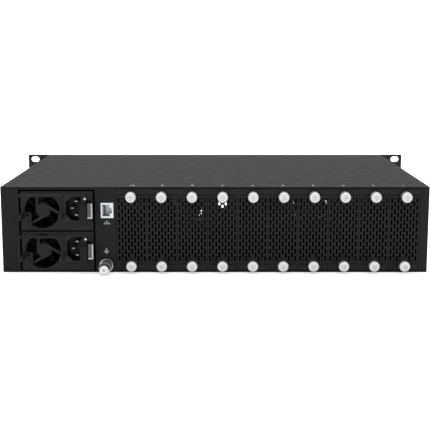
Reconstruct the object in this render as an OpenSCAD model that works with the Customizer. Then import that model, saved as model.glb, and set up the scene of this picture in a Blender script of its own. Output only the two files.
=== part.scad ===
// Modular rack chassis, two rack units high: ten card slots closed by perforated filler panels,
// two hot-swap power modules, a network jack and a grounding post on its rear face.
// X runs along the rack's width and points right when the rear face is looked at. The rear face is
// toward -Y and the rack ears are near the front, at +Y. The origin is the middle of the underside.

/* [Body] */
// Width of the body over its side walls
body_w = 430; // [428:1:446]
// Height of the body
body_h = 87.5; // [87:0.1:90]
// Depth of the body from the rear face to the front face
body_d = 287; // [270:1:420]
// Thickness of the folded steel sheet
sheet = 1.2; // [1:0.1:1.5]
// Thickness of the front panel
front_t = 2; // [1.5:0.1:3]
// Height of the cover's turned-down lips
lip_h = 17; // [15:1:30]

/* [Rack ears] */
// Width over both ears, as the rack standard has it
ear_span = 482.6; // [480:0.1:484]
// Height of an ear
ear_h = 88.1; // [87:0.1:89]
// Thickness of an ear
ear_t = 2; // [1.5:0.1:3]
// Length of the leg that is screwed to the side wall
ear_leg = 42; // [30:1:80]
// How far the ear's flange sits behind the front face
ear_back = 3; // [0:0.5:20]
// Distance between the slotted holes across the rack
ear_hole_dx = 465.1; // [464:0.1:466]
// Distance between the slotted holes up the rack
ear_hole_dz = 76.2; // [70:0.1:78]
// Width of a slotted hole
ear_slot_w = 7; // [6:0.1:7.5]
// Length of a slotted hole
ear_slot_l = 10.5; // [9:0.1:12]

/* [Card slots] */
// Width of one card slot
slot_pitch = 30.48; // [29:0.01:30.8]
// Width of the strip left of the power modules
left_strip = 17.9; // [14:0.1:19]
// Width of the interface panel between the power modules and the card slots
io_w = 21.6; // [20:0.1:24]
// Distance between the two thumbscrews of a filler panel
screw_span = 70; // [66:0.5:72]
// Height of a filler panel
panel_h = 83.5; // [80:0.5:84]
// Gap between neighbouring filler panels
panel_gap = 0.5; // [0.2:0.1:1]

/* [Perforation] */
// Width of one slotted air hole
perf_w = 1.9; // [1.2:0.1:2.2]
// Length of one slotted air hole
perf_l = 6; // [4:0.1:6.2]
// Distance between columns of air holes
perf_dx = 3.175; // [2.9:0.005:3.2]
// Distance between air holes in a column
perf_dz = 7.46; // [6.8:0.02:7.5]
// Columns of air holes in a filler panel
perf_cols = 9; // [5:2:9]
// Full-length air holes in an outer column of a filler panel
perf_rows = 9; // [5:1:9]

/* [Thumbscrews] */
// Radius of a thumbscrew's knurled head
knob_r = 5.3; // [4.5:0.1:6]
// Length of a thumbscrew's head
knob_l = 8.5; // [6:0.5:12]
// Radius of a thumbscrew's shank
shank_r = 1.75; // [1.4:0.05:2]
// Height of the ferrule between a filler panel and the head
ferrule_h = 3.2; // [2:0.1:5]

/* [Power modules] */
// Width of a power module
psu_w = 72.5; // [71:0.1:73]
// Height of a power module
psu_h = 39.4; // [39.2:0.1:40.2]
// Depth of a power module
psu_d = 185; // [160:1:200]
// Clearance left of a power module
psu_gap_l = 2; // [0.4:0.1:2.5]
// Clearance right of a power module
psu_gap_r = 1.9; // [0.4:0.1:2.5]
// Side of a power module's square fan
psu_fan = 38; // [37:0.5:38]
// Radius of the round opening in front of the fan
psu_fan_r = 17.8; // [15:0.1:17.8]
// How far the pull handle stands out of the faceplate
handle_out = 16; // [12:0.5:30]
// How far the release latch stands out of the faceplate
latch_out = 12; // [9:0.5:20]

/* [Front fans] */
// Side of a square cooling fan
fan = 80; // [70:1:80]
// Depth of a cooling fan
fan_t = 25; // [20:1:32]
// Distance between the two cooling fans
fan_span = 140; // [100:1:150]

/* [Interfaces] */
// Width of the network jack across the panel
jack_w = 12.6; // [12:0.1:14]
// Height of the network jack on the panel
jack_h = 15.4; // [15:0.1:17]
// Depth of the network jack
jack_d = 18; // [16:0.5:21]
// Radius of the grounding stud
stud_r = 2.5; // [2:0.1:3]
// How far the grounding nut reaches out of the rear face
stud_out = 21.5; // [15:0.5:25]

/* [Hidden] */
// Fits
eps = 0.01;             // overrun of a cut past a surface
run_fit = 0.05;         // radial clearance of a shaft that turns in its bore
slip = 0.1;             // clearance of folded sheets that slide together
loose = 0.3;            // clearance of modules that are pulled out by hand
seam = 0.3;             // dark line between the cover and the rear frame

// Planes
hw = body_w / 2;
y_rear = -body_d / 2;
y_front = body_d / 2;
y_skin = y_rear + sheet;
z_lid = body_h - sheet;
z_frame = z_lid - seam;

// Rear frame
slot_n = 10;            // card slots
rail_t = 3;             // thickness of the rails that the thumbscrews go into
screw_drop = 0.35;      // thumbscrews sit this much below the body's middle
screw_mid = body_h / 2 - screw_drop;
rail_land_top = 2.4;    // rail below the upper thumbscrews' axes
rail_land_low = 3.6;    // rail above the lower thumbscrews' axes
frame_z = sheet + seam;
rail_top_h = z_frame - screw_mid - screw_span / 2 + rail_land_top;
rail_low_h = screw_mid - screw_span / 2 + rail_land_low - frame_z;
rail_lap = 4;           // how far the rails reach behind the sheet beside the card slots
flange_d = 12;          // depth of the rear frame's folded flanges
bay_w = psu_gap_l + psu_w + psu_gap_r;
bay_x0 = -hw + left_strip;
bay_x1 = bay_x0 + bay_w;
slots_x0 = bay_x1 + io_w;
slots_x1 = slots_x0 + slot_n * slot_pitch;
io_x = (bay_x1 + slots_x0) / 2;
panel_z0 = (body_h - panel_h) / 2;
bay_z1 = z_frame - sheet;

// Filler panels
panel_w = slot_pitch - panel_gap;
perf_up = 0.6;          // air holes sit this much above the middle of the thumbscrews
perf_mid = screw_mid + perf_up;
perf_keep = 0.4;        // room between the air holes and a thumbscrew's ferrule
perf_dot_l = 2;         // length of the short air holes at both ends of a column
side_fold = 8;          // depth of a filler panel's folded sides
side_fold_t = 0.8;      // thickness of a filler panel's folded sides
side_fold_in = 0.2;     // how far the folded sides stand in from the panel's edges
side_fold_gap = 1.5;    // room between the folded sides' ends and the rails
ferrule_r = 4.1;
ferrule_slack = 0.45;   // captive screws are loose in their ferrules

// Thumbscrews
knurl_n = 28;           // ridges around a knob
knurl_d = 0.35;         // depth of the ridges
knob_face_r = 4.2;      // rim of the flat front face
knob_chamfer = 0.5;
recess_r = 2.9;         // shallow dish in the head's face
recess_d = 0.6;
cross_w = 0.9;          // cross recess for a screwdriver
cross_l = 4.2;
cross_d = 1.6;
shank_tip = 8;          // how far the shank reaches in past the rear face
knob_gap = 0.3;         // gap between the ferrule and the head

// Power cage
psu_part = 1.9;         // gap between the two power modules
psu_pitch = psu_h + psu_part;
cage_floor = 0.7;
psu_z_low = sheet + cage_floor + loose;
psu_z_top = psu_z_low + psu_pitch;
shelf_t = 0.7;
shelf_z = psu_z_low + psu_h + (psu_pitch - psu_h - shelf_t) / 2;
psu_x0 = bay_x0 + psu_gap_l;
cage_top_gap = 1.2;     // room between the cage walls and the cover
bend_r = sheet;         // rounded edge where the left strip turns in

// Backplane
board_t = 1.6;          // thickness of every circuit board
plug_l = 9.7;           // depth of the power connectors on the backplane
bp_y = y_rear + psu_d + loose + plug_l;
bp_gap = 2.2;           // room between the backplane's ends and the side walls
bp_top_gap = 2;         // room between the backplane and the cover
bp_angle_h = 12;        // height of the angle on the tray that the backplane stands against
bp_vent_w = 6;          // air slots through the backplane
bp_vent_h = 48;
bp_vent_z = 17;
sock_w = 7;             // card connectors
sock_h = 54;
sock_d = 12;
sock_z = 14;
sock_slot_w = 1.9;
sock_slot_d = 8;
sock_wall = 2.5;
plug_w = 46;            // power connectors
plug_h = 12;
plug_slot_h = 2.2;
plug_slot_d = 6;

// Card guides
guide_in = 3.54;        // a guide's middle, from the left side of its slot
guide_w = 6;
guide_h = 7;
guide_groove_w = 2;
guide_groove_d = 4;
guide_y0 = 24;          // start of the guides, measured in from the rear face
guide_l = 140;
guide_pin_r = 1.7;
guide_pin_slack = 0.15;
guide_pins = [45, 143]; // snap pins, measured in from the rear face

// Power module, measured from its own lower left corner
psu_wall = 0.6;
psu_face = 1.5;
fan_cx = 21.3;
fan_bore_gap = 0.4;     // ring between the faceplate's opening and the fan's bore
psu_fan_t = 28;
hub_r = 7;
hub_back = 2.5;         // depth of the hub and struts behind the fan frame's face
strut_t = 2.5;
strut_w = 2.8;
rotor_gap = 0.9;        // clearance of the blades in the bore
rotor_hub_r = 8;
rotor_hub_t = 12;
blade_n = 7;
blade_t = 1;
blade_tilt = 38;
blade_root_share = 0.22; // how deep the blades run into their hub
blade_w = 11;
axle_r = 1;
axle_in = 1.3;          // how far the axle reaches into the struts' hub
hub_wall = 1;           // room between the struts and the rotor
rib_n = 5;              // ribs beside the faceplate's step
rib_pitch = 1.2;
rib_w = 0.55;
rib_d = 0.35;
rib_z1 = 29.8;
rib_z2 = 38.4;
step_h = 1.2;           // groove across the faceplate, below its upper rim
step_w = 0.6;           // groove down the faceplate beside the ribs
step_z = 37.8;
step_x = 66.2;
step_low = 30.2;
tag_x = 3.6;            // small block that holds the status light
tag_z = 7.5;
tag_w = 6.9;
tag_h = 10.8;
tag_out = 1;
tag_r = 1.5;
light_r = 1.4;
light_z = 15.6;
light_x = 6.6;
pin_hole_r = 0.9;
pin_hole_x = 7.9;
pin_hole_z = 10;
face_screw_x = 64.5;
face_screw_z = 31.9;
face_screw_r = 1.2;
face_screw_h = 0.6;

// Inlet
inlet_x = 53.4;         // middle of the inlet
inlet_z = 22.1;
inlet_w = 19.2;
inlet_h = 27;
inlet_d = 22;
cav_w = 16.4;
cav_h = 25;
cav_d = 17;
cav_cut = 5.8;
blade_pin_w = 4;        // flat contact pins
blade_pin_t = 2;
blade_pin_l = 14.5;
blade_pin_dx = 2;       // offset of the pins from the middle
blade_pin_dz = 7;
inlet_slack = 0.2;

// Pull handle
grip_x = -0.9;
grip_w = 44.9;
grip_t = 1.9;
grip_d = 3;
bar_h = 2.5;
bar_top_gap = 0.8;
grip_round = 3;
pivot_z = 15.2;
pivot_r = 2.9;
pivot_pin_r = 1.25;
lug_gap = 0.2;
lug_t = 1.8;

// Release latch
latch_py = 22;          // pivot of the latch behind the faceplate
latch_px = 69;
latch_barrel_r = 2.2;
latch_pin_r = 1.45;
latch_t = 1.2;
latch_z0 = 13.9;
latch_h = 15.3;
tab_w = 5;
pad_x = 59.9;
pad_w = 7.2;
pad_t = 3;
pad_z0 = 6.7;
pad_h = 19.9;
pad_round = 1.5;
carrier_in = 0.8;       // the metal carrier stands in from the pad's edges
window_gap = 0.5;
latch_throw = 2.6;      // room for the arm's swing in the faceplate
boss_gap = 0.3;
boss_r = 3.4;

// Network jack
jack_z = 63.7;
jack_proud = 0.8;
jack_slack = 0.3;
port_l = 11.7;          // plug opening, long side
port_w = 7.3;
port_in = 1.6;          // opening's offset from the board side
key_l = 6;              // notch for the plug's tongue
key_w = 2.2;
port_d = 13;
contact_n = 8;
contact_pitch = 1.02;
contact_t = 0.45;
contact_h = 1.4;
contact_in = 2;
board_gap = 3.2;        // standoffs between the cage and the management board
board_l = 78;
board_h = 62;
board_z = 14;
board_y = 3;
chip = 15;              // square chip on the management board
chip_t = 1.6;
chip_y = 40;
standoff_r = 2.5;
standoff_in = 6;

// Grounding post
ground_z = 7.2;
ground_dx = -0.3;       // grounding post, left or right of the interface panel's middle
ring_r = 6.9;
ring_t = 1.4;
ring_rim = 1.1;         // width of the ring's raised rim
ring_sink = 0.9;        // depth of the recess inside the rim
ring_hole_slack = 0.2;
inner_nut_r = 4.6;
inner_nut_t = 4;
nut_r = 6.2;
nut_skirt = 5;          // plain neck behind the knurling
nut_neck_r = 4.6;
nut_body = 8;
nut_face_r = 4.3;
nut_gap = 0.4;
nut_bore_wall = 2;
nut_well_r = 1.5;

// Cooling fans
fan_wall = 1.6;
fan_hub_r = 17;
fan_pad_r = 16;
fan_arm_w = 5;
fan_arm_t = 3;
fan_arm_n = 4;
fan_blade_n = 7;
fan_blade_w = 24;
fan_blade_t = 1.6;
fan_blade_tilt = 34;
fan_gap = 1.2;
fan_front_gap = 3.8;    // room between the rotor and the front panel
fan_rotor_t = fan_t - fan_arm_t - fan_gap - fan_front_gap;
fan_axle_r = 2;
fan_axle_l = 3;
fan_hole_in = 8.5;      // a fan's screw holes are this much closer than its sides
fan_hole = fan - fan_hole_in;
fan_screw_r = 2;
fan_round = 4;
fans_x = (slots_x0 + slots_x1) / 2;

// Intake openings of the front panel
grid_pitch = 5.6;
grid_hole = 4.6;        // hexagonal holes, corner to corner
grid_cols = 22;
grid_rows = 13;

// Screws
screw_r = 1.5;
screw_slack = 0.15;
screw_head_r = 2.8;
screw_head_h = 1.1;
screw_l = 5;
cover_screws = 3;       // on each side
cover_screw_in = 40;    // first one, in from the rear face
cover_screw_drop = 7;   // below the cover's top sheet
ear_screw_in = 8;       // in from the ear leg's edges
ear_leg_in = 6;         // the leg is this much shorter than the flange at both ends
ear_round = 1.5;
lip_y0 = 14;            // start of the cover's lips behind the rear face

two = function(k) k < 10 ? str("0", k) : str(k);
slot_x = function(n) slots_x1 - (n - 0.5) * slot_pitch;
psu_z = function(n) n == 1 ? psu_z_top : psu_z_low;

$fn = 48;

// A flat outline drawn in X and Z, made t thick from y inward
module slab(y, t) translate([0, y + t, 0]) rotate([90, 0, 0]) linear_extrude(t) children();

// A round bar along Y
module rod(x, z, y, l, r) translate([x, y + l, z]) rotate([90, 0, 0]) cylinder(h = l, r = r);

// A round bar along X
module rod_x(x, y, z, l, r) translate([x, y, z]) rotate([0, 90, 0]) cylinder(h = l, r = r);

// A box from its lowest corner
module block(x, y, z, w, d, h) translate([x, y, z]) cube([w, d, h]);

// A rectangle with round corners, from its lowest corner
module round_rect(w, h, r) {
    translate([r, 0]) square([w - 2 * r, h]);
    translate([0, r]) square([w, h - 2 * r]);
    for (x = [r, w - r], z = [r, h - r]) translate([x, z]) circle(r);
}

// One slotted air hole, upright, around its middle
module air_slot(w, l) {
    square([w, l - w], center = true);
    for (s = [-1, 1]) translate([0, s * (l - w) / 2]) circle(d = w, $fn = 8);
}

// A slotted hole lying along X
module ear_slot() {
    square([ear_slot_l - ear_slot_w, ear_slot_w], center = true);
    for (s = [-1, 1]) translate([s * (ear_slot_l - ear_slot_w) / 2, 0]) circle(d = ear_slot_w);
}

// Outline of a knurled grip
module knurled(r, n, depth) {
    polygon([for (i = [0:2 * n - 1]) let (a = 180 * i / n, q = r - (i % 2) * depth)
        [q * cos(a), q * sin(a)]]);
}

module ear_screw_places() {
    for (y = [y_front - ear_back - ear_leg + ear_screw_in, y_front - ear_back - ear_screw_in])
        for (z = [ear_leg_in + ear_screw_in, ear_h - ear_leg_in - ear_screw_in])
            translate([0, y, z]) children();
}

module cover_screw_places() {
    step = (body_d - ear_leg - ear_back - 2 * cover_screw_in) / (cover_screws - 1);
    for (i = [0:cover_screws - 1])
        translate([0, y_rear + cover_screw_in + i * step, z_lid - cover_screw_drop]) children();
}

module fan_screw_places() {
    for (f = [-1, 1], x = [-1, 1], z = [-1, 1])
        translate([fans_x + f * fan_span / 2 + x * fan_hole / 2, 0, body_h / 2 + z * fan_hole / 2])
            children();
}

module guide_pin_places() {
    for (n = [1:slot_n], d = guide_pins)
        translate([slot_x(n) - slot_pitch / 2 + guide_in, y_rear + d, 0]) children();
}

module base_tray() color("#26272a") {
    wall_l = body_d - sheet - front_t;
    difference() {
        union() {
            block(-hw, y_rear, 0, body_w, body_d, sheet);
            for (x = [-hw, hw - sheet]) block(x, y_skin, 0, sheet, wall_l, z_lid - slip);
            block(-hw + bp_gap + sheet, bp_y + board_t, 0,
                body_w - 2 * (bp_gap + sheet), sheet, sheet + bp_angle_h);
        }
        guide_pin_places()
            translate([0, 0, -eps]) cylinder(h = sheet + 2 * eps, r = guide_pin_r + guide_pin_slack);
        for (x = [-hw, hw - sheet]) {
            cover_screw_places() rod_x(x - eps, 0, 0, sheet + 2 * eps, screw_r + screw_slack);
            ear_screw_places() rod_x(x - eps, 0, 0, sheet + 2 * eps, screw_r + screw_slack);
        }
    }
}

module top_cover() color("#3a3b3e") {
    lip_l = body_d - lip_y0 - front_t - slip;
    difference() {
        union() {
            block(-hw, y_rear, z_lid, body_w, body_d, sheet);
            for (x = [-hw + sheet + slip, hw - 2 * sheet - slip])
                block(x, y_rear + lip_y0, z_lid - lip_h, sheet, lip_l, lip_h);
        }
        guide_pin_places() translate([0, 0, z_lid - eps])
            cylinder(h = sheet + 2 * eps, r = guide_pin_r + guide_pin_slack);
        for (x = [-hw + sheet + slip, hw - 2 * sheet - slip])
            cover_screw_places() rod_x(x - eps, 0, 0, sheet + 2 * eps, screw_r + screw_slack);
        // The ears' upper screws pass the lips
        for (x = [-hw + sheet + slip, hw - 2 * sheet - slip])
            ear_screw_places() rod_x(x - eps, 0, 0, sheet + 2 * eps, screw_r + 2 * screw_slack);
    }
}

module rear_frame() color("#1d1e20") {
    frame_h = z_frame - frame_z;
    rails_x = slots_x0 - rail_lap;
    rails_w = slots_x1 + rail_lap - rails_x;
    difference() {
        union() {
            slab(y_rear, sheet) {
                translate([-hw, frame_z]) square([left_strip - bend_r, frame_h]);
                translate([-hw, bay_z1]) square([slots_x0 - panel_gap / 2 + hw, sheet]);
                translate([bay_x1, frame_z]) square([io_w - panel_gap / 2, frame_h]);
                translate([slots_x1 + panel_gap / 2, frame_z])
                    square([hw - slots_x1 - panel_gap / 2, frame_h]);
            }
            // Rounded bend beside the power modules
            translate([bay_x0 - bend_r, y_rear + bend_r, frame_z]) cylinder(h = frame_h, r = bend_r);
            block(bay_x0 - sheet, y_rear + bend_r, frame_z, sheet, flange_d, frame_h);
            // Rails behind the filler panels
            block(rails_x, y_skin, z_frame - rail_top_h, rails_w, rail_t, rail_top_h);
            block(rails_x, y_skin, frame_z, rails_w, rail_t, rail_low_h);
            // Folded flanges
            block(-hw + 2 * sheet + 2 * slip, y_skin, bay_z1, body_w - 4 * (sheet + slip), flange_d, sheet);
            block(rails_x, y_skin, frame_z, rails_w, flange_d, sheet);
        }
        for (n = [1:slot_n], s = [-1, 1])
            rod(slot_x(n), screw_mid + s * screw_span / 2, y_skin - eps, rail_t + 2 * eps,
                shank_r + run_fit);
        slab(y_rear - eps, sheet + 2 * eps)
            translate([jack_x0() - jack_slack, jack_z - jack_h / 2 - jack_slack])
                square([jack_w + 2 * jack_slack, jack_h + 2 * jack_slack]);
        rod(ground_x(), ground_z, y_rear - eps, sheet + 2 * eps, stud_r + ring_hole_slack);
    }
}

function cage_x1() = bay_x1 + sheet;
function board_x0() = cage_x1() + board_gap;
function jack_x0() = board_x0() + board_t;
function ground_x() = io_x + ground_dx;

module front_panel() color("#26272a") {
    slab(y_front - front_t, front_t) difference() {
        translate([-hw, sheet + slip]) square([body_w, z_lid - sheet - 2 * slip]);
        for (f = [-1, 1], i = [0:grid_cols - 1], j = [0:grid_rows - 1]) {
            gx = (i - (grid_cols - 1) / 2) * grid_pitch * sin(60);
            gz = (j - (grid_rows - 1) / 2 + (i % 2) / 2 - 1 / 4) * grid_pitch;
            inner = fan / 2 - fan_wall;
            if (abs(gx) < inner - grid_hole / 2 && norm([gx, gz]) < inner)
                translate([fans_x + f * fan_span / 2 + gx, body_h / 2 + gz])
                    circle(d = grid_hole, $fn = 6);
        }
        fan_screw_holes();
    }
}

module fan_screw_holes() {
    for (f = [-1, 1], x = [-1, 1], z = [-1, 1])
        translate([fans_x + f * fan_span / 2 + x * fan_hole / 2, body_h / 2 + z * fan_hole / 2])
            circle(r = fan_screw_r + screw_slack);
}

// An ear on the right side; the left one is its mirror image
module rack_ear() color("#1d1e20") {
    flange_w = ear_span / 2 - hw;
    y0 = y_front - ear_back - ear_t;
    slab(y0, ear_t) difference() {
        union() {
            translate([hw, 0]) square([flange_w / 2, ear_h]);
            translate([hw, 0]) round_rect(flange_w, ear_h, ear_round);
        }
        for (s = [-1, 1])
            translate([ear_hole_dx / 2, ear_h / 2 + s * ear_hole_dz / 2]) ear_slot();
    }
    difference() {
        block(hw, y0 + ear_t - ear_leg, ear_leg_in, ear_t, ear_leg, ear_h - 2 * ear_leg_in);
        ear_screw_places() rod_x(hw - eps, 0, 0, ear_t + 2 * eps, screw_r + screw_slack);
    }
}

// A screw along X whose head's underside is at the origin and whose shank points to +X
module side_screw(l) {
    rod_x(-screw_head_h, 0, 0, screw_head_h, screw_head_r);
    rod_x(-screw_head_h / 2, 0, 0, l + screw_head_h / 2, screw_r);
}

module case_screws() color("#8d8f93") {
    for (m = [0, 1]) mirror([m, 0, 0]) {
        cover_screw_places() translate([-hw, 0, 0]) side_screw(screw_l);
        ear_screw_places() translate([-hw - ear_t, 0, 0]) side_screw(screw_l);
    }
    fan_screw_places() {
        rod(0, 0, y_front, screw_head_h, screw_head_r + screw_slack);
        rod(0, 0, y_front - front_t - screw_l, front_t + screw_l + eps, fan_screw_r);
    }
}

module psu_cage() color("#8a8c90") {
    cage_l = bp_y - y_skin - loose;
    wall_h = z_frame - cage_top_gap - sheet - cage_top_gap;
    left_y = y_skin + flange_d + loose;
    block(bay_x0 - sheet, left_y, sheet, sheet, cage_l - flange_d - loose, wall_h);
    block(bay_x1, y_skin, sheet, sheet, cage_l, wall_h);
    block(bay_x0, y_skin, sheet, bay_w, cage_l, cage_floor);
    block(bay_x0, y_skin, shelf_z, bay_w, cage_l, shelf_t);
    // Standoffs of the management board
    for (y = [standoff_in, board_l - standoff_in], z = [standoff_in, board_h - standoff_in])
        rod_x(cage_x1() - eps, y_rear + board_y + y, board_z + z, board_gap + eps, standoff_r);
}

// A card guide that stands on z = 0 with its snap pins below
module guide() {
    difference() {
        block(-guide_w / 2, y_rear + guide_y0, 0, guide_w, guide_l, guide_h);
        block(-guide_groove_w / 2, y_rear + guide_y0 - eps, guide_h - guide_groove_d,
            guide_groove_w, guide_l + 2 * eps, guide_groove_d + eps);
    }
    for (d = guide_pins) translate([0, y_rear + d, -sheet]) cylinder(h = sheet + eps, r = guide_pin_r);
}

module card_guides() color("#2e3033") {
    for (n = [1:slot_n]) translate([slot_x(n) - slot_pitch / 2 + guide_in, 0, 0]) {
        translate([0, 0, sheet]) guide();
        translate([0, 0, z_lid]) mirror([0, 0, 1]) guide();
    }
}

module backplane() color("#1f5a3a") {
    bx = hw - sheet - bp_gap;
    slab(bp_y, board_t) difference() {
        translate([-bx, sheet]) square([2 * bx, z_lid - bp_top_gap - sheet]);
        for (n = [1:slot_n])
            translate([slot_x(n) + guide_in / 2 - bp_vent_w, bp_vent_z])
                square([2 * bp_vent_w, bp_vent_h]);
    }
}

module backplane_connectors() color("#d9d6c8") {
    for (n = [1:slot_n]) translate([slot_x(n) - slot_pitch / 2 + guide_in, bp_y - sock_d, 0])
        difference() {
            block(-sock_w / 2, 0, sock_z, sock_w, sock_d, sock_h);
            block(-sock_slot_w / 2, -eps, sock_z + sock_wall,
                sock_slot_w, sock_slot_d + eps, sock_h - 2 * sock_wall);
        }
    for (n = [1, 2]) translate([psu_x0 + (psu_w - plug_w) / 2, bp_y - plug_l, psu_z(n) + psu_h / 2])
        difference() {
            block(0, 0, -plug_h / 2, plug_w, plug_l, plug_h);
            block(sock_wall, -eps, -plug_slot_h / 2, plug_w - 2 * sock_wall, plug_slot_d, plug_slot_h);
        }
}

module management_board() color("#1f5a3a") {
    block(board_x0(), y_rear + board_y, board_z, board_t, board_l, board_h);
    block(jack_x0() - eps, y_rear + chip_y, board_z + (board_h - chip) / 2, chip_t + eps, chip, chip);
}

module eth_jack() color("#d8dadd") {
    y0 = y_rear - jack_proud;
    port_z = jack_z;
    difference() {
        block(jack_x0(), y0, jack_z - jack_h / 2, jack_w, jack_d, jack_h);
        block(jack_x0() + port_in, y0 - eps, port_z - port_l / 2, port_w, port_d + eps, port_l);
        block(jack_x0() + port_in + port_w - eps, y0 - eps, port_z - key_l / 2,
            key_w + eps, port_d + eps, key_l);
    }
    for (i = [0:contact_n - 1])
        block(jack_x0() + port_in - eps, y0 + contact_in,
            port_z + (i - (contact_n - 1) / 2) * contact_pitch - contact_t / 2,
            contact_h + eps, port_d - contact_in + eps, contact_t);
}

module ground_stud() color("#c9cbce") {
    difference() {
        rod(ground_x(), ground_z, y_rear - ring_t, ring_t, ring_r);
        rod(ground_x(), ground_z, y_rear - ring_t - eps, ring_sink + eps, ring_r - ring_rim);
    }
    rod(ground_x(), ground_z, y_rear - stud_out + nut_bore_wall + nut_gap,
        stud_out - nut_bore_wall - nut_gap + sheet + inner_nut_t, stud_r);
    translate([ground_x(), y_skin + inner_nut_t, ground_z]) rotate([90, 0, 0])
        cylinder(h = inner_nut_t, r = inner_nut_r, $fn = 6);
}

module ground_nut() color("#d8dadd") {
    y_face = y_rear - stud_out;
    y_back = y_rear - ring_t - nut_gap;
    nose = y_back - y_face - nut_skirt - nut_body;
    translate([ground_x(), y_back, ground_z]) rotate([90, 0, 0]) difference() {
        union() {
            cylinder(h = nut_skirt, r = nut_neck_r);
            translate([0, 0, nut_skirt]) linear_extrude(nut_body) knurled(nut_r, knurl_n, knurl_d);
            translate([0, 0, nut_skirt + nut_body])
                cylinder(h = nose, r1 = nut_r - knurl_d, r2 = nut_face_r);
        }
        translate([0, 0, -eps]) cylinder(h = y_back - y_face - nut_bore_wall + eps, r = stud_r + run_fit);
        cylinder(h = y_back - y_face + eps, r = nut_well_r);
    }
}

module cooling_fan_frames() color("#1b1c1e") {
    y0 = y_front - front_t - fan_t;
    for (f = [-1, 1]) translate([fans_x + f * fan_span / 2, 0, body_h / 2]) difference() {
        union() {
            slab(y0, fan_t) difference() {
                translate([-fan / 2, -fan / 2]) round_rect(fan, fan, fan_round);
                circle(fan / 2 - fan_wall);
            }
            slab(y0, fan_arm_t) {
                circle(fan_pad_r);
                for (a = [0:fan_arm_n - 1]) rotate(45 + a * 360 / fan_arm_n)
                    translate([0, -fan_arm_w / 2]) square([fan / 2 - fan_wall / 2, fan_arm_w]);
            }
        }
        rod(0, 0, y0 - eps, fan_arm_t + 2 * eps, fan_axle_r + run_fit);
        for (x = [-1, 1], z = [-1, 1])
            rod(x * fan_hole / 2, z * fan_hole / 2, y0 - eps, fan_t + 2 * eps,
                fan_screw_r + screw_slack);
    }
}

// A fan rotor around the Y axis: hub from y inward, blades trimmed to a tip circle
module rotor(y, hub, hub_t, tip, n, bw, bt, tilt, ax, al) {
    root = hub * blade_root_share;
    rod(0, 0, y, hub_t, hub);
    rod(0, 0, y - al, hub_t + al, ax);
    intersection() {
        rod(0, 0, y, hub_t, tip);
        for (i = [0:n - 1]) rotate([0, i * 360 / n, 0])
            translate([0, y + hub_t / 2, 0]) rotate([0, 0, tilt])
                translate([-bw / 2, -bt / 2, hub - root]) cube([bw, bt, tip - hub + root + eps]);
    }
}

module cooling_fan_rotor(f) color("#141516")
    translate([fans_x + f * fan_span / 2, 0, body_h / 2])
        rotor(y_front - front_t - fan_t + fan_arm_t + fan_gap, fan_hub_r, fan_rotor_t,
            fan / 2 - fan_wall - fan_gap, fan_blade_n, fan_blade_w, fan_blade_t, fan_blade_tilt,
            fan_axle_r, fan_gap + fan_axle_l);

// A power module's own frame: lower left corner of its faceplate
module in_psu(n) translate([psu_x0, y_rear, psu_z(n)]) children();

module psu_case(n) color("#222326") in_psu(n) {
    fan_z = psu_h / 2;
    difference() {
        union() {
            difference() {
                cube([psu_w, psu_d, psu_h]);
                block(psu_wall, psu_face, psu_wall, psu_w - 2 * psu_wall,
                    psu_d - psu_face - psu_wall, psu_h - 2 * psu_wall);
            }
            // Block with the status light
            slab(-tag_out, tag_out + psu_face) translate([tag_x, tag_z]) round_rect(tag_w, tag_h, tag_r);
            handle_lugs();
            latch_bosses();
        }
        slab(-eps, psu_face + 2 * eps) difference() {
            translate([fan_cx, fan_z]) circle(psu_fan_r);
            translate([tag_x - tag_r, tag_z - tag_r])
                round_rect(tag_w + tag_r + eps, tag_h + tag_r + eps, tag_r);
        }
        slab(-eps, psu_face + 2 * eps)
            translate([inlet_x - inlet_w / 2 - inlet_slack, inlet_z - inlet_h / 2 - inlet_slack])
                square([inlet_w + 2 * inlet_slack, inlet_h + 2 * inlet_slack]);
        // Window for the latch's arm
        slab(-eps, psu_face + 2 * eps)
            translate([latch_px - latch_t / 2 - latch_throw, latch_z0 - window_gap])
                square([latch_throw + latch_t + window_gap, latch_h + 2 * window_gap]);
        for (z = [[light_x, light_z, light_r], [pin_hole_x, pin_hole_z, pin_hole_r]])
            rod(z[0], z[1], -tag_out - eps, tag_out + psu_face / 2, z[2]);
        // Step line around the faceplate
        block(-eps, -eps, step_z - step_h / 2, step_x + step_w / 2, step_w + eps, step_h);
        block(step_x - step_w / 2, -eps, step_low, step_w, step_w + eps, step_z - step_low);
        // Ribs beside the step
        for (i = [0:rib_n - 1])
            block(step_x + rib_pitch * (i + 1 / 2), -eps, rib_z1, rib_w, rib_d + eps, rib_z2 - rib_z1);
    }
    rod(face_screw_x, face_screw_z, -face_screw_h, face_screw_h + eps, face_screw_r);
}

module handle_lugs() {
    for (x = [grip_x + grip_t + lug_gap, grip_x + grip_w - grip_t - lug_gap - lug_t]) {
        block(x, -handle_out + grip_d / 2, pivot_z - pivot_r, lug_t, handle_out - grip_d / 2 + eps,
            2 * pivot_r);
        rod_x(x, -handle_out + grip_d / 2, pivot_z, lug_t, pivot_r);
    }
    rod_x(grip_x, -handle_out + grip_d / 2, pivot_z, grip_t + lug_gap + eps, pivot_pin_r);
    rod_x(grip_x + grip_w - grip_t - lug_gap - eps, -handle_out + grip_d / 2, pivot_z,
        grip_t + lug_gap + eps, pivot_pin_r);
}

module latch_bosses() {
    top = latch_z0 + latch_h + boss_gap;
    low = latch_z0 - boss_gap;
    translate([latch_px, latch_py, psu_wall - eps]) {
        cylinder(h = psu_h - 2 * psu_wall + 2 * eps, r = latch_pin_r);
        cylinder(h = low - psu_wall + eps, r = boss_r - psu_wall);
    }
    translate([latch_px, latch_py, top]) cylinder(h = psu_h - psu_wall - top + eps, r = boss_r - psu_wall);
}

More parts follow.
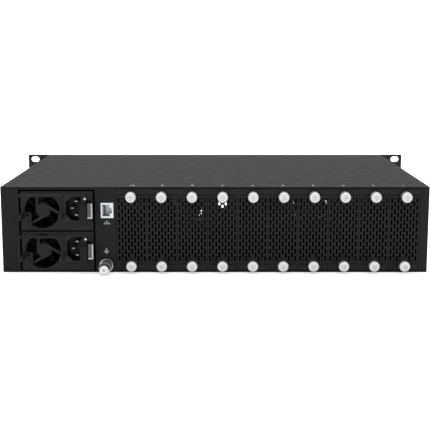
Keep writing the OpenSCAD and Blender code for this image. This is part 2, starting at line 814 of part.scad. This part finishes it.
module psu_fan_frame(n) color("#17181a") in_psu(n) translate([fan_cx, 0, psu_h / 2]) {
    bore = psu_fan_r + fan_bore_gap;
    slab(psu_face, psu_fan_t) difference() {
        square(psu_fan, center = true);
        circle(bore);
    }
    difference() {
        slab(psu_face + hub_back, strut_t) {
            circle(hub_r);
            for (a = [0:2]) rotate(-120 * a) translate([-hub_r, 0])
                square([strut_w, sqrt(pow(bore, 2) - pow(hub_r, 2)) + fan_bore_gap]);
        }
        rod(0, 0, psu_face + hub_back + hub_wall, strut_t, axle_r + run_fit);
    }
}

module psu_fan_rotor(n) color("#101112") in_psu(n) translate([fan_cx, 0, psu_h / 2])
    rotor(psu_face + hub_back + strut_t + hub_wall, rotor_hub_r, rotor_hub_t,
        psu_fan_r + fan_bore_gap - rotor_gap, blade_n, blade_w, blade_t, blade_tilt,
        axle_r, hub_wall + axle_in);

// The inlet's opening, turned so that its earth pin is at the left
module inlet_outline(w, h, cut) {
    polygon([[-w / 2, -h / 2 + cut], [-w / 2 + cut, -h / 2], [w / 2, -h / 2],
        [w / 2, h / 2], [-w / 2 + cut, h / 2], [-w / 2, h / 2 - cut]]);
}

module psu_inlet(n) color("#1a1b1d") in_psu(n) translate([inlet_x, 0, inlet_z]) {
    difference() {
        block(-inlet_w / 2, 0, -inlet_h / 2, inlet_w, inlet_d, inlet_h);
        slab(-eps, cav_d + eps) inlet_outline(cav_w, cav_h, cav_cut);
    }
    for (p = [[-blade_pin_dx, 0], [blade_pin_dx, blade_pin_dz], [blade_pin_dx, -blade_pin_dz]])
        block(p[0] - blade_pin_w / 2, cav_d - blade_pin_l, p[1] - blade_pin_t / 2,
            blade_pin_w, blade_pin_l + eps, blade_pin_t);
}

module psu_handle(n) color("#2b2c2f") in_psu(n) {
    top = psu_h - bar_top_gap;
    py = -handle_out + grip_d / 2;
    difference() {
        union() {
            slab(-handle_out, grip_d) difference() {
                union() {
                    translate([grip_x, pivot_z]) square([grip_w, top - grip_round - pivot_z]);
                    translate([grip_x, pivot_z]) round_rect(grip_w, top - pivot_z, grip_round);
                }
                translate([grip_x + grip_t, pivot_z - eps])
                    square([grip_w - 2 * grip_t, top - bar_h - pivot_z + eps]);
            }
            for (x = [grip_x, grip_x + grip_w - grip_t]) rod_x(x, py, pivot_z, grip_t, pivot_r);
        }
        for (x = [grip_x, grip_x + grip_w - grip_t])
            rod_x(x - eps, py, pivot_z, grip_t + 2 * eps, pivot_pin_r + run_fit);
    }
}

module psu_latch(n) color("#c4c6c9") in_psu(n) {
    arm_x = latch_px - latch_t / 2;
    difference() {
        union() {
            block(arm_x, -latch_out, latch_z0, latch_t, latch_out + latch_py, latch_h);
            translate([latch_px, latch_py, latch_z0]) cylinder(h = latch_h, r = latch_barrel_r);
            block(arm_x, -latch_out, latch_z0, tab_w, latch_t, latch_h);
            // Carrier of the thumb pad
            block(pad_x + carrier_in, -latch_out + pad_t, latch_z0 + carrier_in,
                arm_x - pad_x - carrier_in + eps, latch_t, pad_z0 + pad_h - latch_z0 - 2 * carrier_in);
        }
        translate([latch_px, latch_py, latch_z0 - eps])
            cylinder(h = latch_h + 2 * eps, r = latch_pin_r + run_fit);
    }
    slab(-latch_out, pad_t) translate([pad_x, pad_z0]) round_rect(pad_w, pad_h, pad_round);
}

// Heights and lengths of the air holes in a column; an inner column (odd = 1) starts with half a hole
function air_column(odd) =
    let (bar = perf_dz - perf_l, half_l = perf_dz / 2 - bar, half_z = (perf_rows / 2 - 1 / 4) * perf_dz,
        dot_z = perf_rows / 2 * perf_dz + bar / 2 + perf_dot_l / 2, rows = perf_rows - odd)
    concat([for (r = [0:rows - 1]) [perf_mid + (r - (rows - 1) / 2) * perf_dz, perf_l]],
        odd == 0 ? [] : [for (s = [-1, 1]) [perf_mid + s * half_z, half_l]],
        [for (s = [-1, 1]) [perf_mid + s * dot_z, perf_dot_l]]);

module filler_panel(n) color("#1d1e20") translate([slot_x(n), 0, 0]) {
    screws = [for (s = [-1, 1]) screw_mid + s * screw_span / 2];
    fold_z0 = frame_z + rail_low_h + side_fold_gap;
    fold_z1 = z_frame - rail_top_h - side_fold_gap;
    difference() {
        union() {
            slab(y_rear, sheet) difference() {
                translate([-panel_w / 2, panel_z0]) square([panel_w, panel_h]);
                for (c = [0:perf_cols - 1], h = air_column(c % 2)) {
                    x = (c - (perf_cols - 1) / 2) * perf_dx;
                    reach = [for (q = screws) norm([x, max(0, abs(h[0] - q) - (h[1] - perf_w) / 2)])];
                    if (min(reach) > ferrule_r + perf_keep + perf_w / 2)
                        translate([x, h[0]]) air_slot(perf_w, h[1]);
                }
            }
            for (z = screws) rod(0, z, y_rear - ferrule_h, ferrule_h + eps, ferrule_r);
            for (x = [-panel_w / 2 + side_fold_in, panel_w / 2 - side_fold_in - side_fold_t])
                block(x, y_skin - eps, fold_z0, side_fold_t, side_fold, fold_z1 - fold_z0);
        }
        for (z = screws)
            rod(0, z, y_rear - ferrule_h - eps, ferrule_h + sheet + 2 * eps, shank_r + ferrule_slack);
    }
}

module thumbscrew(n, s) color("#d8dadd")
    translate([slot_x(n), y_rear - ferrule_h - knob_gap, screw_mid + s * screw_span / 2])
        rotate([90, 0, 0]) {
            difference() {
                union() {
                    cylinder(h = knob_chamfer, r1 = knob_r - knurl_d - knob_chamfer, r2 = knob_r - knurl_d);
                    translate([0, 0, knob_chamfer]) linear_extrude(knob_l - 2 * knob_chamfer)
                        knurled(knob_r, knurl_n, knurl_d);
                    translate([0, 0, knob_l - knob_chamfer])
                        cylinder(h = knob_chamfer, r1 = knob_r - knurl_d, r2 = knob_r - knurl_d - knob_chamfer);
                }
                translate([0, 0, knob_l - recess_d]) cylinder(h = recess_d + eps, r = recess_r);
                for (a = [0, 90]) rotate(a) translate([-cross_l / 2, -cross_w / 2, knob_l - cross_d])
                    cube([cross_l, cross_w, cross_d + eps]);
            }
            translate([0, 0, -knob_gap - ferrule_h - shank_tip])
                cylinder(h = knob_gap + ferrule_h + shank_tip + eps, r = shank_r);
        }

base_tray();
top_cover();
rear_frame();
front_panel();
mirror([1, 0, 0]) rack_ear();  // rack_ear_left
rack_ear();  // rack_ear_right
case_screws();
psu_cage();
card_guides();
backplane();
backplane_connectors();
management_board();
eth_jack();
ground_stud();
ground_nut();
cooling_fan_frames();
cooling_fan_rotor(-1);  // cooling_fan_rotor_1
cooling_fan_rotor(1);  // cooling_fan_rotor_2
for (p = [1:2]) {
    psu_case(p);
    psu_fan_frame(p);
    psu_fan_rotor(p);
    psu_inlet(p);
    psu_handle(p);
    psu_latch(p);
}
for (n = [1:slot_n]) {
    filler_panel(n);
    thumbscrew(n, 1);
    thumbscrew(n, -1);
}
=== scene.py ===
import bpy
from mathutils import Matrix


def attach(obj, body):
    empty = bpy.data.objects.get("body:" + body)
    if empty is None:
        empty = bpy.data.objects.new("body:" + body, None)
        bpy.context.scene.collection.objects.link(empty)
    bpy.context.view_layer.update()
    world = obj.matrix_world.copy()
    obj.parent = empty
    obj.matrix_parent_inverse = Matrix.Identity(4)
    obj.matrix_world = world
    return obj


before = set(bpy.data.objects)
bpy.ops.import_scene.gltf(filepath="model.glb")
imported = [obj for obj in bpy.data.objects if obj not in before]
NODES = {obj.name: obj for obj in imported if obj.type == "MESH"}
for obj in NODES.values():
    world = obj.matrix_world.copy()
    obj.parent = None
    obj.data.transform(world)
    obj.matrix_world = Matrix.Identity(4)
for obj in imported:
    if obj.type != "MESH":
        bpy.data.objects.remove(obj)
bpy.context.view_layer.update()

import math

import bmesh
import bpy
from mathutils import Matrix, Vector

MM = 0.001

# Sizes in millimetres, as the solids have them
BODY_H = 87.5
Y_REAR = -143.5
SLOT_N = 10
SLOT_PITCH = 30.48
SLOTS_X1 = 205.7
PSU_X = -195.1
PSU_Z = {1: 43.5, 2: 2.2}
INLET_X = 53.4          # places on a power module, from its lower left corner
INLET_Z = 22.1
LATCH_Z = 13.9
PAD_X = 68.2            # the latch's thumb pad ends here
PAD_Y = Y_REAR - 8.99
# Behind this plane the cage's rear edges are coloured near black as painted shade
CAGE_SHADE_Y = Y_REAR + 9
NUMBER_SIZE = 5.6
NUMBER_IN = 8.6         # slot numbers sit this far from the cover's rear edge
EARTH_X, EARTH_Z = -109.8, 21.9
NETWORK_X, NETWORK_Z = -108.9, 51.2
POST_X, POST_Z = -110.2, 7.2
JACK_Z = 63.7
CONTACT_N = 8
CONTACT_PITCH = 1.02
PRINT_LEVELS = (Y_REAR - 0.05, Y_REAR - 0.01)
CAMERA_BACK = 935.3     # behind the rear face
CAMERA_UP = 138.1       # above the cover


def slot_x(n):
    return SLOTS_X1 - (n - 0.5) * SLOT_PITCH


# ---------------------------------------------------------------- materials

def link(tree, a, b):
    tree.links.new(a, b)


def new_material(name):
    mat = bpy.data.materials.new(name)
    mat.use_nodes = True
    tree = mat.node_tree
    bsdf = tree.nodes["Principled BSDF"]
    return mat, tree, bsdf


def node(tree, kind, **values):
    n = tree.nodes.new(kind)
    for key, value in values.items():
        setattr(n, key, value)
    return n


def noise(tree, coord, scale, detail=2.0, stretch=None):
    if stretch:
        mapping = node(tree, "ShaderNodeMapping")
        mapping.inputs["Scale"].default_value = stretch
        link(tree, coord, mapping.inputs["Vector"])
        coord = mapping.outputs["Vector"]
    tex = node(tree, "ShaderNodeTexNoise")
    tex.inputs["Scale"].default_value = scale
    tex.inputs["Detail"].default_value = detail
    link(tree, coord, tex.inputs["Vector"])
    return tex.outputs["Fac"]


def spread(tree, fac, low, high):
    """Maps the middle of a noise to low..high."""
    ranged = node(tree, "ShaderNodeMapRange")
    ranged.inputs["From Min"].default_value = 0.3
    ranged.inputs["From Max"].default_value = 0.7
    ranged.inputs["To Min"].default_value = low
    ranged.inputs["To Max"].default_value = high
    link(tree, fac, ranged.inputs["Value"])
    return ranged.outputs["Result"]


def mix_colors(tree, fac, a, b):
    mix = node(tree, "ShaderNodeMix", data_type="RGBA")
    for value, socket in ((a, mix.inputs[6]), (b, mix.inputs[7])):
        if isinstance(value, (tuple, list)):
            socket.default_value = (*value[:3], 1)
        else:
            link(tree, value, socket)
    link(tree, fac, mix.inputs[0])
    return mix.outputs[2]


def bump(tree, bsdf, height, strength, distance):
    b = node(tree, "ShaderNodeBump")
    b.inputs["Strength"].default_value = strength
    b.inputs["Distance"].default_value = distance
    link(tree, height, b.inputs["Height"])
    link(tree, b.outputs["Normal"], bsdf.inputs["Normal"])


def coords(tree):
    return node(tree, "ShaderNodeTexCoord").outputs["Object"]


def coated(name, color, rough=0.5, specular=0.3, grain=1600, strength=0.25, vary=0.12):
    """Painted or moulded surface: fine grain, faint cloudy change of tone and gloss."""
    mat, tree, bsdf = new_material(name)
    at = coords(tree)
    cloudy = noise(tree, at, 35, 3)
    dark = tuple(c * (1 - vary) for c in color)
    light = tuple(c * (1 + vary) for c in color)
    fac = spread(tree, cloudy, 0, 1)
    link(tree, mix_colors(tree, fac, dark, light), bsdf.inputs["Base Color"])
    link(tree, spread(tree, noise(tree, at, 90, 4), rough - 0.05, rough + 0.05), bsdf.inputs["Roughness"])
    bsdf.inputs["Specular IOR Level"].default_value = specular
    bump(tree, bsdf, noise(tree, at, grain, 2), strength, 0.00003)
    return mat


def metal(name, color, rough=0.3, brush=None, strength=0.12, vary=0.06):
    """Bare or plated metal. brush stretches the grain, such as (30, 30, 1) for lines along Z."""
    mat, tree, bsdf = new_material(name)
    at = coords(tree)
    bsdf.inputs["Metallic"].default_value = 1.0
    grain = noise(tree, at, 60 if brush else 900, 3, brush)
    dark = tuple(c * (1 - vary) for c in color)
    light = tuple(min(1, c * (1 + vary)) for c in color)
    link(tree, mix_colors(tree, spread(tree, grain, 0, 1), dark, light), bsdf.inputs["Base Color"])
    link(tree, spread(tree, grain, rough - 0.05, rough + 0.07), bsdf.inputs["Roughness"])
    bump(tree, bsdf, grain, strength, 0.00002)
    return mat


def inside(tree, at, lows, highs):
    """1 inside a box given in millimetres, else 0. None leaves a side open."""
    xyz = node(tree, "ShaderNodeSeparateXYZ")
    link(tree, at, xyz.inputs[0])
    fac = None
    for axis in range(3):
        for limit, op in ((lows[axis], "GREATER_THAN"), (highs[axis], "LESS_THAN")):
            if limit is None:
                continue
            test = node(tree, "ShaderNodeMath", operation=op)
            link(tree, xyz.outputs[axis], test.inputs[0])
            test.inputs[1].default_value = limit * MM
            if fac is None:
                fac = test.outputs[0]
            else:
                both = node(tree, "ShaderNodeMath", operation="MULTIPLY")
                link(tree, fac, both.inputs[0])
                link(tree, test.outputs[0], both.inputs[1])
                fac = both.outputs[0]
    return fac


def paint(names, mat):
    for name in names:
        obj = NODES[name]
        for slot in obj.material_slots:
            slot.material = mat
        if not obj.material_slots:
            obj.data.materials.append(mat)


def two(n):
    return f"{n:02d}"


panels = [f"filler_panel_{two(n)}" for n in range(1, SLOT_N + 1)]
screws = [f"thumbscrew_{two(n)}_{s}" for n in range(1, SLOT_N + 1) for s in ("top", "low")]

cover_mat = coated("cover_paint", (0.0098, 0.0098, 0.01), rough=0.65, specular=0.09, strength=0.1, vary=0.015)
frame_mat = coated("frame_paint", (0.0082, 0.0082, 0.0084), rough=0.55, specular=0.08)
panel_mat = coated("panel_paint", (0.0098, 0.0098, 0.01), rough=0.55, specular=0.1)
tray_mat = coated("tray_paint", (0.0092, 0.0092, 0.0094), rough=0.55, specular=0.1)
ear_mat = coated("ear_paint", (0.0092, 0.0092, 0.0094), rough=0.5, specular=0.15)
module_mat = coated("module_paint", (0.0092, 0.0092, 0.0094), rough=0.5, specular=0.12)
handle_mat = coated("handle_paint", (0.0075, 0.0075, 0.0077), rough=0.5, specular=0.1)
inlet_mat = coated("inlet_plastic", (0.0085, 0.0085, 0.0087), rough=0.45, specular=0.2, grain=900)
fan_mat = coated("fan_plastic", (0.0092, 0.0092, 0.0094), rough=0.5, specular=0.15, grain=900)
rotor_mat = coated("rotor_plastic", (0.004, 0.004, 0.0045), rough=0.4, specular=0.2, grain=900)
guide_mat = coated("guide_plastic", (0.004, 0.004, 0.0042), rough=0.7, specular=0.02)
board_mat = coated("board_mask", (0.003, 0.012, 0.007), rough=0.4, specular=0.3, grain=700)
connector_mat = coated("connector_plastic", (0.05, 0.05, 0.048), rough=0.5, specular=0.2)
steel_mat = metal("screw_steel", (0.45, 0.45, 0.46), rough=0.32)
jack_mat = metal("jack_shield", (0.50, 0.515, 0.525), rough=0.5)
post_mat = metal("post_metal", (0.48, 0.48, 0.48), rough=0.3)
knob_mat = metal("knob_metal", (0.47, 0.47, 0.475), rough=0.4)

paint(["top_cover"], cover_mat)
paint(["rear_frame", "front_panel"], frame_mat)
paint(["base_tray"], tray_mat)
paint(["rack_ear_left", "rack_ear_right"], ear_mat)
paint(panels, panel_mat)
paint(screws, knob_mat)
paint(["case_screws"], steel_mat)
paint(["card_guides"], guide_mat)
paint(["backplane", "management_board"], board_mat)
paint(["backplane_connectors"], connector_mat)
paint(["eth_jack"], jack_mat)
paint(["ground_nut", "ground_stud"], post_mat)
paint(["cooling_fan_frames"], fan_mat)
paint(["cooling_fan_rotor_1", "cooling_fan_rotor_2"], rotor_mat)
for p in (1, 2):
    paint([f"psu_{p}_case"], module_mat)
    paint([f"psu_{p}_fan_frame"], fan_mat)
    paint([f"psu_{p}_fan_rotor"], rotor_mat)
    paint([f"psu_{p}_inlet"], inlet_mat)
    paint([f"psu_{p}_handle"], handle_mat)


def two_part(name, brush, metals, highs, other, values, specular):
    """Bare metal that is dull below the given highs; values are the roughness of metal and dull."""
    mat, tree, bsdf = new_material(name)
    at = coords(tree)
    grain = noise(tree, at, 60, 3, brush)
    bare = mix_colors(tree, spread(tree, grain, 0, 1), *metals)
    dull = inside(tree, at, (None, None, None), highs)
    link(tree, mix_colors(tree, dull, bare, other), bsdf.inputs["Base Color"])
    for socket, low, high in (("Metallic", 1, 0), ("Roughness", *values)):
        ranged = node(tree, "ShaderNodeMapRange")
        ranged.inputs["To Min"].default_value = low
        ranged.inputs["To Max"].default_value = high
        link(tree, dull, ranged.inputs["Value"])
        link(tree, ranged.outputs["Result"], bsdf.inputs[socket])
    bsdf.inputs["Specular IOR Level"].default_value = specular
    bump(tree, bsdf, grain, 0.1, 0.00002)
    return mat


# Zinc-plated sheet whose rear edges are near black: painted shade where they show in the dark gaps around the
# power modules
paint(["psu_cage"], two_part("cage_steel", (1, 30, 30), ((0.26, 0.26, 0.27), (0.34, 0.34, 0.35)),
                             (None, CAGE_SHADE_Y, None), (0.004, 0.004, 0.0042), (0.42, 0.6), 0.1))
# Spring steel with a black thumb pad
paint(["psu_1_latch", "psu_2_latch"],
      two_part("latch_steel", (30, 30, 1), ((0.045, 0.045, 0.047), (0.08, 0.08, 0.083)),
               (PSU_X + PAD_X, PAD_Y, None), (0.0075, 0.0075, 0.0077), (0.34, 0.5), 0.08))

# ---------------------------------------------------------------- pieces

def piece(name, bm, mat, body, bevel=0.0, segments=2):
    """Makes an object of a bmesh drawn in millimetres."""
    bmesh.ops.scale(bm, vec=(MM, MM, MM), verts=bm.verts)
    bmesh.ops.recalc_face_normals(bm, faces=bm.faces)
    mesh = bpy.data.meshes.new(name)
    bm.to_mesh(mesh)
    bm.free()
    obj = bpy.data.objects.new(name, mesh)
    bpy.context.scene.collection.objects.link(obj)
    mesh.materials.append(mat)
    if bevel:
        mod = obj.modifiers.new("edges", "BEVEL")
        mod.width = bevel * MM
        mod.segments = segments
        mod.limit_method = "ANGLE"
    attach(obj, body)


def add_box(bm, low, high):
    corners = [bm.verts.new((x, y, z)) for x in (low[0], high[0])
               for y in (low[1], high[1]) for z in (low[2], high[2])]
    for face in ((0, 1, 3, 2), (4, 6, 7, 5), (0, 4, 5, 1), (2, 3, 7, 6), (0, 2, 6, 4), (1, 5, 7, 3)):
        bm.faces.new([corners[i] for i in face])


def add_print(bm, x, z, half_w, half_h):
    """A thin printed rectangle on the interface panel."""
    outline = ((x - half_w, z - half_h), (x + half_w, z - half_h),
               (x + half_w, z + half_h), (x - half_w, z + half_h))
    back, front = [[bm.verts.new((px, level, pz)) for px, pz in outline] for level in PRINT_LEVELS]
    bm.faces.new(back)
    bm.faces.new(list(reversed(front)))
    for i in range(4):
        j = (i + 1) % 4
        bm.faces.new([back[i], front[i], front[j], back[j]])


def add_disc(bm, x, y, z, radius, depth):
    """A disc in millimetres whose axis runs along Y."""
    place = Matrix.Translation((x, y, z)) @ Matrix.Rotation(math.radians(90), 4, "X")
    bmesh.ops.create_cone(bm, cap_ends=True, segments=32, radius1=radius, radius2=radius,
                          depth=depth, matrix=place)


print_mat = coated("printed_ink", (0.30, 0.30, 0.31), rough=0.6, specular=0.2, vary=0.08)
number_mat = coated("number_ink", (0.62, 0.62, 0.63), rough=0.6, specular=0.2, vary=0.05)
pin_mat = metal("pin_metal", (0.35, 0.35, 0.355), rough=0.35)
# Lighter steel on the latch's folded edges: painted highlight
latch_highlight_mat = metal("latch_edge_painted_highlight", (0.30, 0.30, 0.305), rough=0.35, brush=(30, 30, 1))
# Near black for the status lens, and painted shade for the pin hole
lens_and_hole_shade_mat = coated("status_lens_and_hole_shade", (0.001, 0.001, 0.001), rough=0.8, specular=0.01)
contact_mat = metal("contact_gold", (0.34, 0.33, 0.30), rough=0.4)
# Near-black washer: partly its own colour, partly painted shade of the ring's recess
washer_and_shade_mat = coated("washer_dark_and_painted_shade", (0.01, 0.011, 0.01), rough=0.5, specular=0.25)

# Slot numbers on the cover, near its rear edge
for n in range(1, SLOT_N + 1):
    font = bpy.data.curves.new(f"number_{n}", "FONT")
    font.body = str(n)
    font.size = NUMBER_SIZE * MM
    font.align_x = "CENTER"
    font.extrude = 0.02 * MM
    text = bpy.data.objects.new(f"number_{n}_text", font)
    bpy.context.scene.collection.objects.link(text)
    bpy.context.view_layer.update()
    mesh = bpy.data.meshes.new_from_object(text)
    bpy.data.objects.remove(text)
    place = Vector((slot_x(n) * MM, (Y_REAR + NUMBER_IN) * MM, (BODY_H + 0.03) * MM))
    mesh.transform(Matrix.Translation(place))
    mesh.materials.clear()
    mesh.materials.append(number_mat)
    obj = bpy.data.objects.new(f"slot_number_{two(n)}", mesh)
    bpy.context.scene.collection.objects.link(obj)
    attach(obj, "chassis")

# Earth symbol and network symbol on the interface panel
bm = bmesh.new()
add_print(bm, EARTH_X, EARTH_Z + 1.75, 0.45, 1.35)
for half, z in ((2.6, 0.0), (1.75, -1.1), (0.9, -2.2)):
    add_print(bm, EARTH_X, EARTH_Z + z, half, 0.35)
piece("earth_symbol", bm, print_mat, "chassis")

bm = bmesh.new()
for dx, dz in ((0, 1.1), (-2.4, -1.1), (0, -1.1), (2.4, -1.1)):
    add_print(bm, NETWORK_X + dx, NETWORK_Z + dz, 0.65, 0.5)
add_print(bm, NETWORK_X, NETWORK_Z, 2.6, 0.12)
piece("network_symbol", bm, print_mat, "chassis")

# Dark washer inside the grounding post's ring; its near-black colour is partly its own and partly painted
# shade in the ring's recess
bm = bmesh.new()
turns = [2 * math.pi * i / 48 for i in range(48)]
rings = [[bm.verts.new((POST_X + r * math.cos(t), Y_REAR - proud, POST_Z + r * math.sin(t))) for t in turns]
         for r in (5.75, 2.6) for proud in (0.58, 0.5)]
for a, b in ((0, 1), (1, 3), (3, 2), (2, 0)):
    for i in range(len(turns)):
        j = (i + 1) % len(turns)
        bm.faces.new([rings[a][i], rings[a][j], rings[b][j], rings[b][i]])
piece("grounding_washer", bm, washer_and_shade_mat, "chassis")

for p in (1, 2):
    z0 = PSU_Z[p]
    # Bright contact pins over the solid ones
    bm = bmesh.new()
    for dx, dz in ((-2, 0), (2, 7), (2, -7)):
        x, z = PSU_X + INLET_X + dx, z0 + INLET_Z + dz
        add_box(bm, (x - 2.04, Y_REAR + 2.45, z - 1.04), (x + 2.04, Y_REAR + 16.9, z + 1.04))
    piece(f"psu_{p}_inlet_pins", bm, pin_mat, f"psu_{p}", bevel=0.8)

    # Folded edges of the release latch in a lighter steel: painted highlight where the folds catch the light
    bm = bmesh.new()
    x0, zl = PSU_X, z0 + LATCH_Z
    add_box(bm, (x0 + 71.9, Y_REAR - 12.35, zl - 0.02), (x0 + 73.42, Y_REAR - 10.9, zl + 15.32))
    add_box(bm, (x0 + 68.42, Y_REAR - 12.5, zl - 0.05), (x0 + 73.4, Y_REAR - 11.2, zl + 1.7))
    piece(f"psu_{p}_latch_folds_highlight", bm, latch_highlight_mat, f"psu_{p}_latch_body", bevel=0.3)

    # Dark lens of the status light, and a near-black disc in the pin hole as painted shade
    bm = bmesh.new()
    for dx, dz, radius in ((6.6, 15.6, 1.36), (7.9, 10.0, 0.86)):
        add_disc(bm, PSU_X + dx, Y_REAR - 0.25, z0 + dz, radius, 0.3)
    piece(f"psu_{p}_status_lens_and_hole_shade", bm, lens_and_hole_shade_mat, f"psu_{p}")

    # Bright face of the small screw beside the inlet
    bm = bmesh.new()
    add_disc(bm, PSU_X + 64.5, Y_REAR - 0.6, z0 + 31.9, 1.22, 0.2)
    piece(f"psu_{p}_face_screw", bm, pin_mat, f"psu_{p}")

# Contacts of the network jack
bm = bmesh.new()
for i in range(CONTACT_N):
    z = JACK_Z + (i - (CONTACT_N - 1) / 2) * CONTACT_PITCH
    add_box(bm, (-112.9, Y_REAR + 1.15, z - 0.24), (-111.66, Y_REAR + 12.0, z + 0.24))
piece("jack_contacts", bm, contact_mat, "chassis", bevel=0.08, segments=1)

# ---------------------------------------------------------------- studio

bm = bmesh.new()
corners = [bm.verts.new((x, y, 0)) for x, y in ((-6, -6), (6, -6), (6, 6), (-6, 6))]
bm.faces.new(corners)
mesh = bpy.data.meshes.new("floor")
bm.to_mesh(mesh)
bm.free()
floor = bpy.data.objects.new("floor", mesh)
bpy.context.scene.collection.objects.link(floor)
floor_mat = coated("floor_paper", (0.93, 0.93, 0.93), rough=0.8, specular=0.1, strength=0.05, vary=0.01)
floor_shader = floor_mat.node_tree.nodes["Principled BSDF"]
floor_shader.inputs["Emission Color"].default_value = (1, 1, 1, 1)
floor_shader.inputs["Emission Strength"].default_value = 0.3
mesh.materials.append(floor_mat)

world = bpy.data.worlds.new("studio")
world.use_nodes = True
world.node_tree.nodes["Background"].inputs["Color"].default_value = (1, 1, 1, 1)
world.node_tree.nodes["Background"].inputs["Strength"].default_value = 1.15
bpy.context.scene.world = world


def softbox(name, place, target, size, power):
    data = bpy.data.lights.new(name, "AREA")
    data.shape = "RECTANGLE"
    data.size, data.size_y = size
    data.energy = power
    obj = bpy.data.objects.new(name, data)
    bpy.context.scene.collection.objects.link(obj)
    obj.location = place
    obj.rotation_euler = (Vector(target) - Vector(place)).to_track_quat("-Z", "Y").to_euler()


softbox("top_light", (0, 0.2, 1.6), (0, 0, 0), (1.8, 1.2), 25)
softbox("left_light", (-1.3, -1.2, 0.7), (-0.1, -0.1, 0.04), (0.8, 0.8), 4)
softbox("right_light", (1.3, -1.2, 0.7), (0.1, -0.1, 0.04), (0.8, 0.8), 4)

camera_data = bpy.data.cameras.new("camera")
camera_data.lens = 79.1
camera_data.sensor_width = 36
camera = bpy.data.objects.new("camera", camera_data)
camera.location = (0, (Y_REAR - CAMERA_BACK) * MM, (BODY_H + CAMERA_UP) * MM)
camera.rotation_euler = (math.radians(79.9), 0, 0)
bpy.context.scene.collection.objects.link(camera)
bpy.context.scene.camera = camera
bpy.context.scene.view_settings.view_transform = "Standard"
